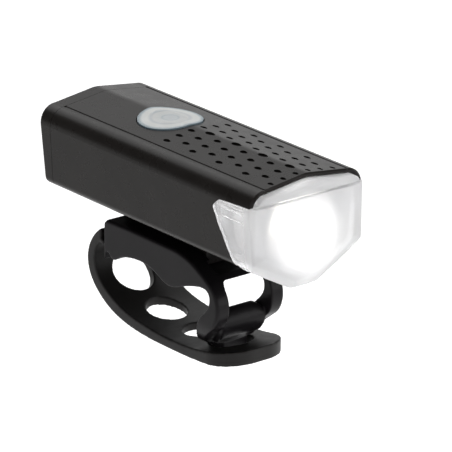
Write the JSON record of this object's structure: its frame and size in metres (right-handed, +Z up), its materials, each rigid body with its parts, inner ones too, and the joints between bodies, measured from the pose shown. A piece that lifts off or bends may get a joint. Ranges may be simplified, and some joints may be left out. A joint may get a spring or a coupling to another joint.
{
  "type": "bike headlight",
  "caption": "Battery bike headlight with a faceted clear lens, round top button and dimpled gable roof, on a slide-on handlebar bracket with a perforated rubber strap.",
  "frame": {"origin": "crown of the bracket's saddle, where it rests on top of the handlebar, in the light's centre plane", "axes": "+X forward along the beam, +Y to the rider's left along the handlebar, +Z up"},
  "size_m": [0.0988, 0.041, 0.0643],
  "materials": {
    "body_plastic": "fine satin texture, very dark warm grey",
    "bracket_plastic": "satin black",
    "strap_rubber": "soft black, slightly grey on the rims",
    "seal_rubber": "soft black",
    "key_silicone": "translucent milky blue-grey",
    "clear_lens": "clear, polished",
    "bright_reflector": "vacuum-metallised mirror",
    "led_phosphor": "yellow phosphor dome",
    "alloy": "as cast and machined",
    "steel": "nickel-plated",
    "circuit_board": "green solder mask",
    "chip_plastic": "moulded black",
    "cell_can": "steel can in a shrink sleeve",
    "inner_plastic": "natural white",
    "foam": "open-cell foam",
    "wire_jacket": "silicone insulation"
  },
  "bodies": {
    "bracket": {"bracket": "bracket_plastic", "strap_pin": "steel", "saddle_pad": "seal_rubber"},
    "lamp": {"housing": "body_plastic", "rear_cap": "body_plastic", "cap_seal": "seal_rubber", "cap_screws": "steel", "lens": "clear_lens", "lens_seal": "seal_rubber", "reflector": "bright_reflector", "led_board": "alloy", "led_emitter": "led_phosphor", "heat_sink": "alloy", "led_screws": "steel", "chassis_tray": "inner_plastic", "battery_cell": "cell_can", "battery_tabs": "steel", "battery_leads": "wire_jacket", "battery_foam": "foam", "main_board": "circuit_board", "board_screws": "steel", "board_parts": "chip_plastic", "status_leds": "led_phosphor", "switch_body": "steel", "usb_socket": "steel", "usb_board": "circuit_board", "led_leads": "wire_jacket", "button_frame": "inner_plastic", "mounting_rail": "body_plastic", "rail_screws": "steel"},
    "strap": {"strap": "strap_rubber"},
    "button": {"button": "key_silicone", "switch_plunger": "chip_plastic"},
    "port_cover": {"port_cover": "seal_rubber"}
  },
  "joints": [
    {"name": "strap_hinge", "type": "hinge", "parent": "bracket", "child": "strap", "pos_m": [-0.0176, 0, 0.0024], "axis": [0, 1, 0], "range_deg": [0, 35]},
    {"name": "lamp_slide", "type": "slide", "parent": "bracket", "child": "lamp", "axis": [1, 0, 0], "range_m": [0, 0.045]},
    {"name": "button_press", "type": "slide", "parent": "lamp", "child": "button", "axis": [0, 0, -1], "range_m": [0, 0.0008], "stiffness_N_per_m": 2000},
    {"name": "port_cover_hinge", "type": "hinge", "parent": "lamp", "child": "port_cover", "pos_m": [-0.03583, 0, 0.0206], "axis": [0, -1, 0], "range_deg": [0, 105]}
  ]
}
